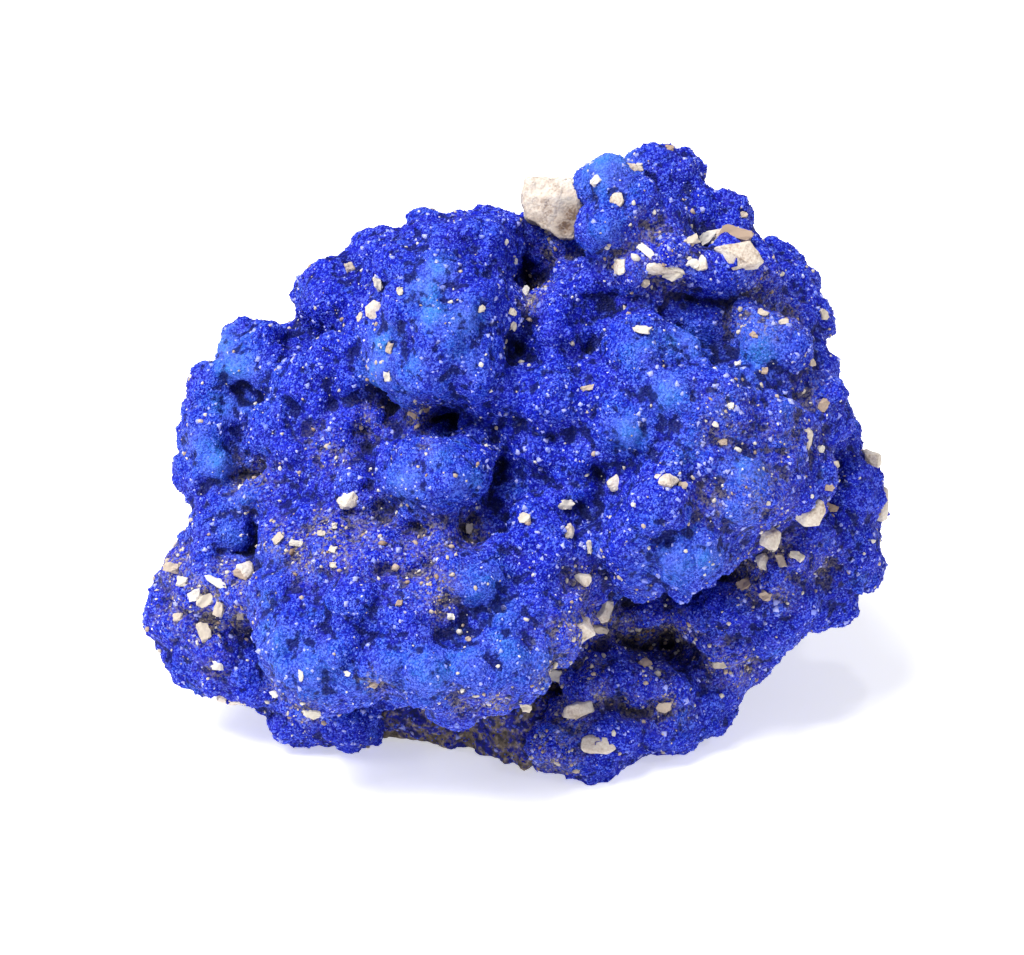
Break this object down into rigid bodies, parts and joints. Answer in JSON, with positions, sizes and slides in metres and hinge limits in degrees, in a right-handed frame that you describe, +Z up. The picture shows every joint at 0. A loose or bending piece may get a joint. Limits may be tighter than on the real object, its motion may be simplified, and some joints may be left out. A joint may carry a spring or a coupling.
{
  "type": "azurite specimen",
  "caption": "Lobed cluster of deep blue azurite on pale brown matrix rock, with cream clay chips set in its druse, standing on a flat underside.",
  "frame": {"origin": "middle of the specimen's box, on the surface it stands on", "axes": "+Z up, +X to the right across the lobed face, -Y towards whoever looks at that face"},
  "size_m": [0.0302, 0.024, 0.0232],
  "materials": {
    "azurite": "deep blue druse of fine sparkling crystals",
    "matrix": "dull pale brown weathered rock",
    "clay": "matt cream and tan clay"
  },
  "bodies": {
    "root": {"azurite": "azurite", "matrix_rock": "matrix", "clay_chip_above_foot": "clay", "clay_chip_at_foot": "clay", "clay_chip_back_centre": "clay", "clay_chip_back_left": "clay", "clay_chip_back_low": "clay", "clay_chip_back_right": "clay", "clay_chip_back_upper": "clay", "clay_chip_below_ledge": "clay", "clay_chip_dome_left": "clay", "clay_chip_flank_lower": "clay", "clay_chip_flank_upper": "clay", "clay_chip_in_hollow": "clay", "clay_chip_left_foot": "clay", "clay_chip_left_gap": "clay", "clay_chip_lower_edge": "clay", "clay_chip_right_base": "clay", "clay_chip_right_edge": "clay", "clay_chip_right_lower": "clay", "clay_chip_shelf_end": "clay", "clay_chip_shelf_tip": "clay", "clay_drop_centre": "clay", "clay_flake_on_ledge": "clay", "clay_flake_on_peak": "clay", "clay_grain_centre": "clay", "clay_grain_centre_left": "clay", "clay_grain_ledge_right": "clay", "clay_grain_on_ledge": "clay", "clay_grain_on_peak": "clay", "clay_grain_shelf": "clay", "clay_lump_in_saddle": "clay", "clay_lump_right": "clay", "clay_plate_behind": "clay", "clay_plate_upper_right": "clay"}
  },
  "joints": []
}
